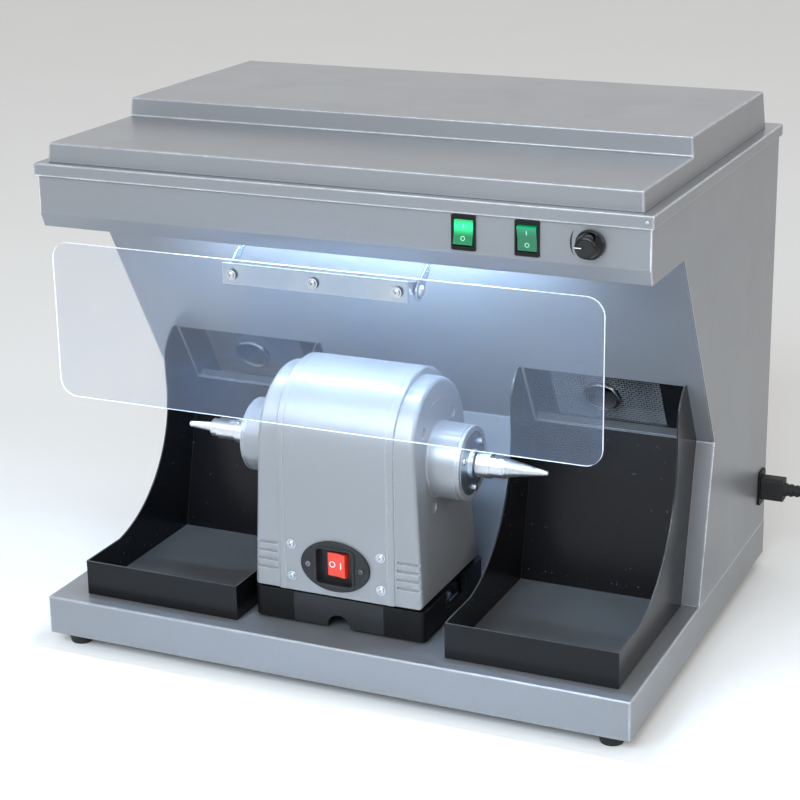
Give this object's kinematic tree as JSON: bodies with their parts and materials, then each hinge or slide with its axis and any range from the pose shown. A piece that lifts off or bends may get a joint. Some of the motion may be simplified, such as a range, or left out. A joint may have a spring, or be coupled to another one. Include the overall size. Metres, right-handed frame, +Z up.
{
  "type": "dental polishing lathe",
  "caption": "Bench suction cabinet with a double-ended polishing motor, two dust bins, a tilting clear shield, lit switches and a speed knob.",
  "frame": {"origin": "on the floor, under the middle of the cabinet", "axes": "+X to the viewer's right along the spindles, -Y to the front, +Z up"},
  "size_m": [0.8665, 0.5, 0.56],
  "materials": {
    "silver_paint": "silver metallic paint, satin",
    "rubber": "black, matt",
    "black_plastic": "black, fine texture",
    "black_sheet": "black gloss paint",
    "wire_mesh": "woven wire",
    "zinc_steel": "bright zinc",
    "filter_paper": "pleated filter paper",
    "core_steel": "plain steel",
    "gloss_black": "black gloss",
    "green_lens": "clear green, lit from inside",
    "bright_steel": "polished steel",
    "lamp_glass": "white lamp glass",
    "clear_plastic": "clear sheet",
    "motor_paint": "light silver paint, satin",
    "red_plastic": "red, satin"
  },
  "bodies": {
    "cabinet": {"base_pan": "silver_paint", "side_panel_left": "silver_paint", "side_panel_right": "silver_paint", "back_panel": "silver_paint", "work_face": "silver_paint", "header_front": "silver_paint", "header_floor": "silver_paint", "top_rim": "silver_paint", "lid": "silver_paint", "foot_front_left": "rubber", "foot_front_right": "rubber", "foot_rear_left": "rubber", "foot_rear_right": "rubber", "cord_connector": "rubber", "cord_run": "rubber", "cord_coil": "rubber", "mains_plug": "rubber", "exhaust_grille": "black_plastic", "duct_pipe": "black_plastic", "blower_housing": "black_plastic", "speed_control": "black_plastic", "lamp_holder": "black_plastic", "plinth": "black_plastic", "plinth_insert": "black_plastic", "switch_plate": "black_plastic", "power_inlet": "black_plastic", "suction_hood_left": "black_sheet", "suction_hood_right": "black_sheet", "mesh_screen_left": "wire_mesh", "mesh_screen_right": "wire_mesh", "filter_box": "zinc_steel", "shield_hanger": "zinc_steel", "bearing_cap_left": "zinc_steel", "bearing_cap_right": "zinc_steel", "filter_cartridge": "filter_paper", "blower_motor": "core_steel", "stator": "core_steel", "switch_bezel_light": "gloss_black", "switch_bezel_suction": "gloss_black", "pivot_screw_left": "bright_steel", "pivot_screw_right": "bright_steel", "bearing_left": "bright_steel", "bearing_right": "bright_steel", "lamp_tube": "lamp_glass", "motor_cover": "motor_paint", "end_casting_left": "motor_paint", "end_casting_right": "motor_paint"},
    "rotor": {"rotor_shaft": "bright_steel", "spindle_left": "bright_steel", "spindle_right": "bright_steel"},
    "shield_frame": {"shield_channel": "zinc_steel", "shield": "clear_plastic"},
    "light_switch": {"light_rocker": "green_lens"},
    "suction_switch": {"suction_rocker": "green_lens"},
    "motor_switch": {"motor_rocker": "red_plastic"},
    "speed_dial": {"speed_knob": "gloss_black", "control_shaft": "bright_steel"},
    "left_bin": {"bin_left": "black_sheet"},
    "right_bin": {"bin_right": "black_sheet"},
    "fan": {"impeller": "zinc_steel"}
  },
  "joints": [
    {"name": "rotor_spin", "type": "hinge", "parent": "cabinet", "child": "rotor", "pos_m": [0, -0.145, 0.2326], "axis": [1, 0, 0], "continuous": true},
    {"name": "shield_tilt", "type": "hinge", "parent": "cabinet", "child": "shield_frame", "pos_m": [0, -0.223, 0.43], "axis": [-1, 0, 0], "range_deg": [0, 60]},
    {"name": "light_tip", "type": "hinge", "parent": "cabinet", "child": "light_switch", "pos_m": [0.1433, -0.2145, 0.4885], "axis": [1, 0, 0], "range_deg": [0, 16]},
    {"name": "suction_tip", "type": "hinge", "parent": "cabinet", "child": "suction_switch", "pos_m": [0.2065, -0.2145, 0.4885], "axis": [-1, 0, 0], "range_deg": [0, 16]},
    {"name": "motor_tip", "type": "hinge", "parent": "cabinet", "child": "motor_switch", "pos_m": [0, -0.2063, 0.1281], "axis": [0, 0, 1], "range_deg": [0, 16]},
    {"name": "speed_turn", "type": "hinge", "parent": "cabinet", "child": "speed_dial", "pos_m": [0.268, -0.216, 0.4885], "axis": [0, 1, 0], "range_deg": [-45, 225]},
    {"name": "left_bin_slide", "type": "slide", "parent": "cabinet", "child": "left_bin", "axis": [0, -1, 0], "range_m": [0, 0.05]},
    {"name": "right_bin_slide", "type": "slide", "parent": "cabinet", "child": "right_bin", "axis": [0, -1, 0], "range_m": [0, 0.05]},
    {"name": "fan_spin", "type": "hinge", "parent": "cabinet", "child": "fan", "pos_m": [0.1, 0.09907, 0.134], "axis": [1, 0, 0], "continuous": true}
  ]
}
